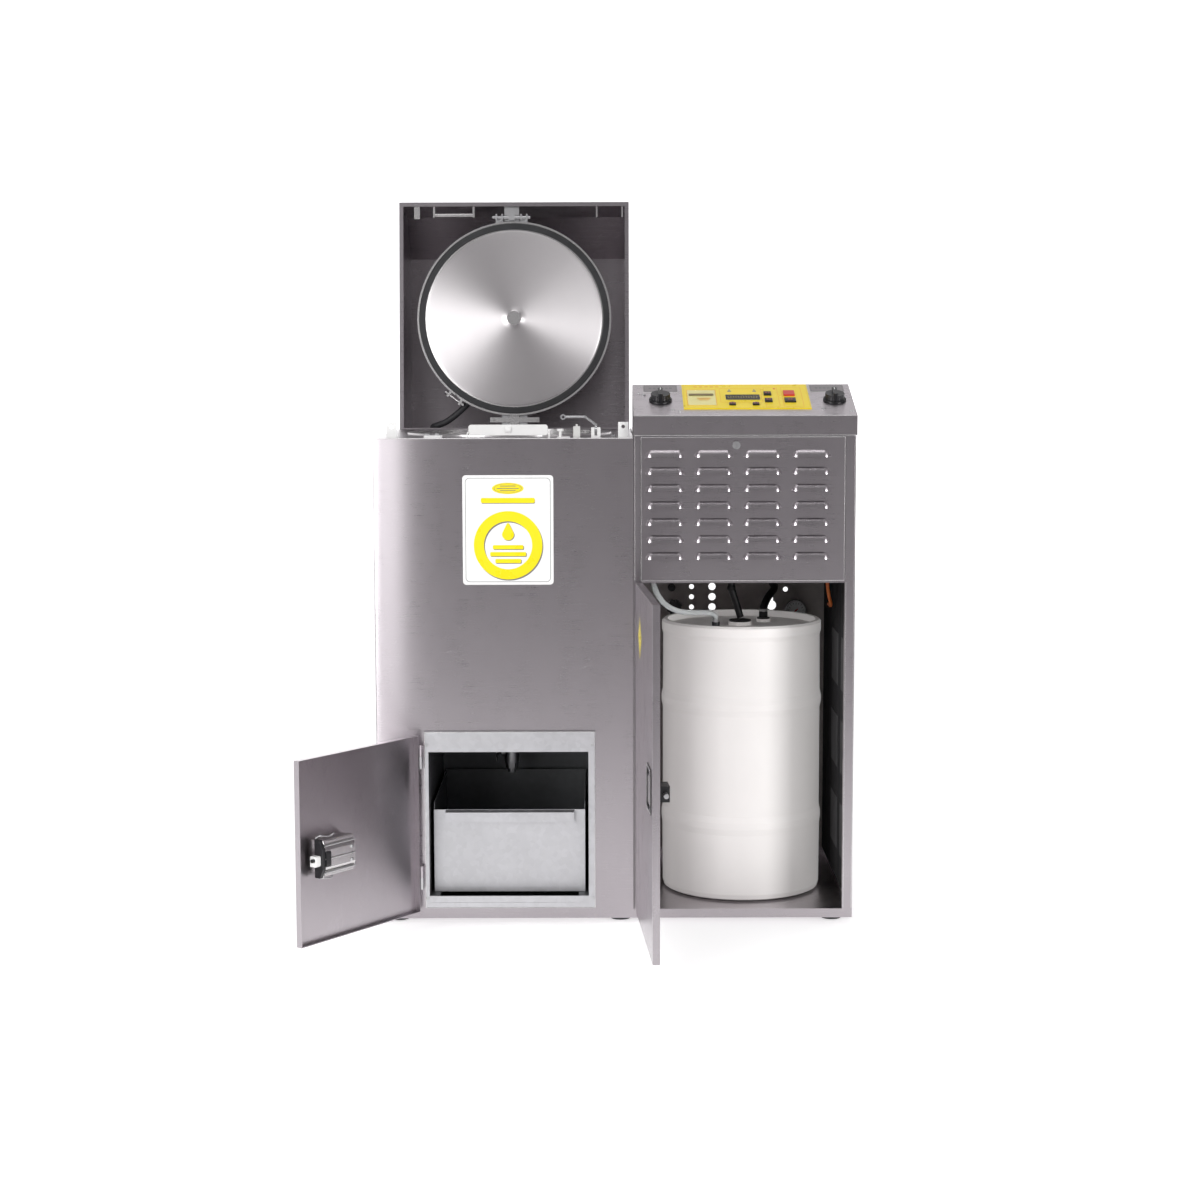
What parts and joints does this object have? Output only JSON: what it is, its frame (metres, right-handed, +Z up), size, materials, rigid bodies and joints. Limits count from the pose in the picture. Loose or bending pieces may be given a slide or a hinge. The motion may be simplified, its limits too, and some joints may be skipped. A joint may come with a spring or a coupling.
{
  "type": "solvent parts washer tank",
  "caption": "Stainless two-cabinet solvent parts washer with a hinged cover over a heated tank, a pull-out bin behind a door, a collecting drum and a sloped control console.",
  "frame": {"origin": "underside centre of the front left levelling foot, on the floor", "axes": "+X to the right along the front, +Y towards the back, +Z up"},
  "size_m": [1.1822, 1.4717, 1.6148],
  "materials": {
    "stainless": "brushed stainless sheet",
    "stainless_bright": "polished stainless",
    "galvanised": "galvanised sheet, spangled",
    "zinc": "zinc-plated hardware",
    "dark_steel": "black painted steel",
    "white_coat": "white powder coat",
    "aluminium": "mill finish fins and tubes",
    "black_plastic": "moulded, fine texture",
    "red_plastic": "moulded",
    "yellow_panel": "printed membrane",
    "window": "clear window over a display",
    "white_label": "printed sticker",
    "drum_plastic": "blow-moulded polyethylene",
    "insulation": "glass-fibre jacket",
    "rubber": "black rubber",
    "clear_tube": "clear vinyl tube",
    "orange_tube": "braided tube",
    "switch_grey": "moulded"
  },
  "bodies": {
    "cabinet": {"base_frame": "stainless", "levelling_feet": "dark_steel", "left_shell": "stainless", "left_front_panel": "stainless", "bin_liner": "galvanised", "top_deck": "stainless", "vessel": "stainless_bright", "heater_jacket": "insulation", "drain_valve": "zinc", "deck_brackets": "white_coat", "limit_switch": "switch_grey", "right_shell": "stainless", "right_frame": "stainless", "louvre_panel": "stainless", "condenser_coil": "aluminium", "fan_motor": "dark_steel", "console_housing": "stainless", "control_panel": "yellow_panel", "display_window": "window", "label_plates": "white_label", "drum": "drum_plastic", "drum_fittings": "black_plastic", "clear_hose": "clear_tube", "vent_hose": "rubber", "purge_hose": "orange_tube", "gauge_body": "dark_steel", "hinge_leaves": "zinc", "side_catches": "zinc", "fasteners": "zinc"},
    "cover": {"cover_box": "stainless", "cover_knuckles": "zinc", "vessel_lid": "stainless_bright", "lid_gasket": "rubber", "clamp_band": "stainless_bright", "lid_bracket": "zinc", "vapour_hose": "rubber", "cover_handle": "stainless_bright"},
    "clamp_bar": {"clamp_bar": "white_coat"},
    "support_lever": {"support_lever": "zinc"},
    "drain_handle": {"drain_handle": "black_plastic"},
    "bin": {"collecting_bin": "galvanised"},
    "bin_door": {"bin_door": "stainless", "bin_latch_case": "stainless_bright"},
    "bin_bolt": {"bin_latch_bolt": "black_plastic"},
    "drum_door": {"drum_door": "stainless", "drum_latch_case": "black_plastic"},
    "drum_paddle": {"drum_paddle": "stainless_bright"},
    "drum_bolt": {"drum_latch_bolt": "zinc"},
    "fan": {"fan_blades": "black_plastic"},
    "knob_left": {"knob_left": "black_plastic"},
    "knob_right": {"knob_right": "black_plastic"},
    "key_left": {"key_left": "black_plastic"},
    "key_right": {"key_right": "black_plastic"},
    "key_up": {"key_up": "black_plastic"},
    "key_down": {"key_down": "black_plastic"},
    "key_stop": {"key_stop": "red_plastic"},
    "key_start": {"key_start": "black_plastic"},
    "gauge_needle": {"gauge_needle": "red_plastic"},
    "valve_knob": {"valve_knob": "black_plastic"},
    "panel_lock": {"panel_lock": "zinc"}
  },
  "joints": [
    {"name": "cover_hinge", "type": "hinge", "parent": "cabinet", "child": "cover", "pos_m": [0.241, 0.565, 1.058], "axis": [-1, 0, 0], "range_deg": [-96, 0]},
    {"name": "clamp_bar_hinge", "type": "hinge", "parent": "cabinet", "child": "clamp_bar", "pos_m": [0.25, -0.015, 1.074], "axis": [1, 0, 0], "range_deg": [0, 70]},
    {"name": "support_lever_pivot", "type": "hinge", "parent": "cabinet", "child": "support_lever", "pos_m": [0.44, -0.017, 1.081], "axis": [1, 0, 0], "range_deg": [0, 60]},
    {"name": "drain_handle_turn", "type": "hinge", "parent": "cabinet", "child": "drain_handle", "pos_m": [0.21, 0.286, 0.322], "axis": [1, 0, 0], "range_deg": [-90, 0]},
    {"name": "bin_slide", "type": "slide", "parent": "cabinet", "child": "bin", "axis": [0, -1, 0], "range_m": [0, 0.3]},
    {"name": "bin_door_hinge", "type": "hinge", "parent": "cabinet", "child": "bin_door", "pos_m": [0.055, -0.072, 0.23], "axis": [0, 0, -1], "range_deg": [-126, 30]},
    {"name": "bin_bolt_slide", "type": "slide", "parent": "bin_door", "child": "bin_bolt", "axis": [-0.5878, -0.809, 0], "range_m": [0, 0.014]},
    {"name": "drum_door_hinge", "type": "hinge", "parent": "cabinet", "child": "drum_door", "pos_m": [0.532, -0.072, 0.39], "axis": [0, 0, -1], "range_deg": [-86.5, 13.5]},
    {"name": "drum_paddle_hinge", "type": "hinge", "parent": "drum_door", "child": "drum_paddle", "pos_m": [0.55335, -0.43738, 0.404], "axis": [-0.061, 0.9981, 0], "range_deg": [0, 35], "stiffness_Nm_per_rad": 0.25},
    {"name": "drum_bolt_slide", "type": "slide", "parent": "drum_door", "child": "drum_bolt", "axis": [-0.061, 0.9981, 0], "range_m": [0, 0.0105]},
    {"name": "fan_spin", "type": "hinge", "parent": "cabinet", "child": "fan", "pos_m": [0.761, 0.499, 0.913], "axis": [0, 1, 0], "continuous": true},
    {"name": "knob_left_turn", "type": "hinge", "parent": "cabinet", "child": "knob_left", "pos_m": [0.581, 0.02532, 1.14396], "axis": [0, -0.3148, 0.9492], "range_deg": [-135, 135]},
    {"name": "knob_right_turn", "type": "hinge", "parent": "cabinet", "child": "knob_right", "pos_m": [0.961, 0.02532, 1.14396], "axis": [0, -0.3148, 0.9492], "range_deg": [-135, 135]},
    {"name": "key_left_press", "type": "slide", "parent": "cabinet", "child": "key_left", "axis": [0, 0.3148, -0.9492], "range_m": [0, 0.0008], "stiffness_N_per_m": 600},
    {"name": "key_right_press", "type": "slide", "parent": "cabinet", "child": "key_right", "axis": [0, 0.3148, -0.9492], "range_m": [0, 0.0008], "stiffness_N_per_m": 600},
    {"name": "key_up_press", "type": "slide", "parent": "cabinet", "child": "key_up", "axis": [0, 0.3148, -0.9492], "range_m": [0, 0.0008], "stiffness_N_per_m": 600},
    {"name": "key_down_press", "type": "slide", "parent": "cabinet", "child": "key_down", "axis": [0, 0.3148, -0.9492], "range_m": [0, 0.0008], "stiffness_N_per_m": 600},
    {"name": "key_stop_press", "type": "slide", "parent": "cabinet", "child": "key_stop", "axis": [0, 0.3148, -0.9492], "range_m": [0, 0.0008], "stiffness_N_per_m": 600},
    {"name": "key_start_press", "type": "slide", "parent": "cabinet", "child": "key_start", "axis": [0, 0.3148, -0.9492], "range_m": [0, 0.0008], "stiffness_N_per_m": 600},
    {"name": "needle_turn", "type": "hinge", "parent": "cabinet", "child": "gauge_needle", "pos_m": [0.923, 0.52, 0.628], "axis": [0, 1, 0], "range_deg": [0, 260], "stiffness_Nm_per_rad": 0.002},
    {"name": "valve_knob_turn", "type": "hinge", "parent": "cabinet", "child": "valve_knob", "pos_m": [0.627, 0.487, 0.64], "axis": [0, -1, 0], "range_deg": [0, 340]},
    {"name": "panel_lock_turn", "type": "hinge", "parent": "cabinet", "child": "panel_lock", "pos_m": [0.742, -0.06, 1.051], "axis": [0, 1, 0], "range_deg": [0, 90]}
  ],
  "couplings": [
    {"joint": "drum_bolt_slide", "follows": "drum_paddle_hinge", "m_per_rad": 0.0165}
  ]
}
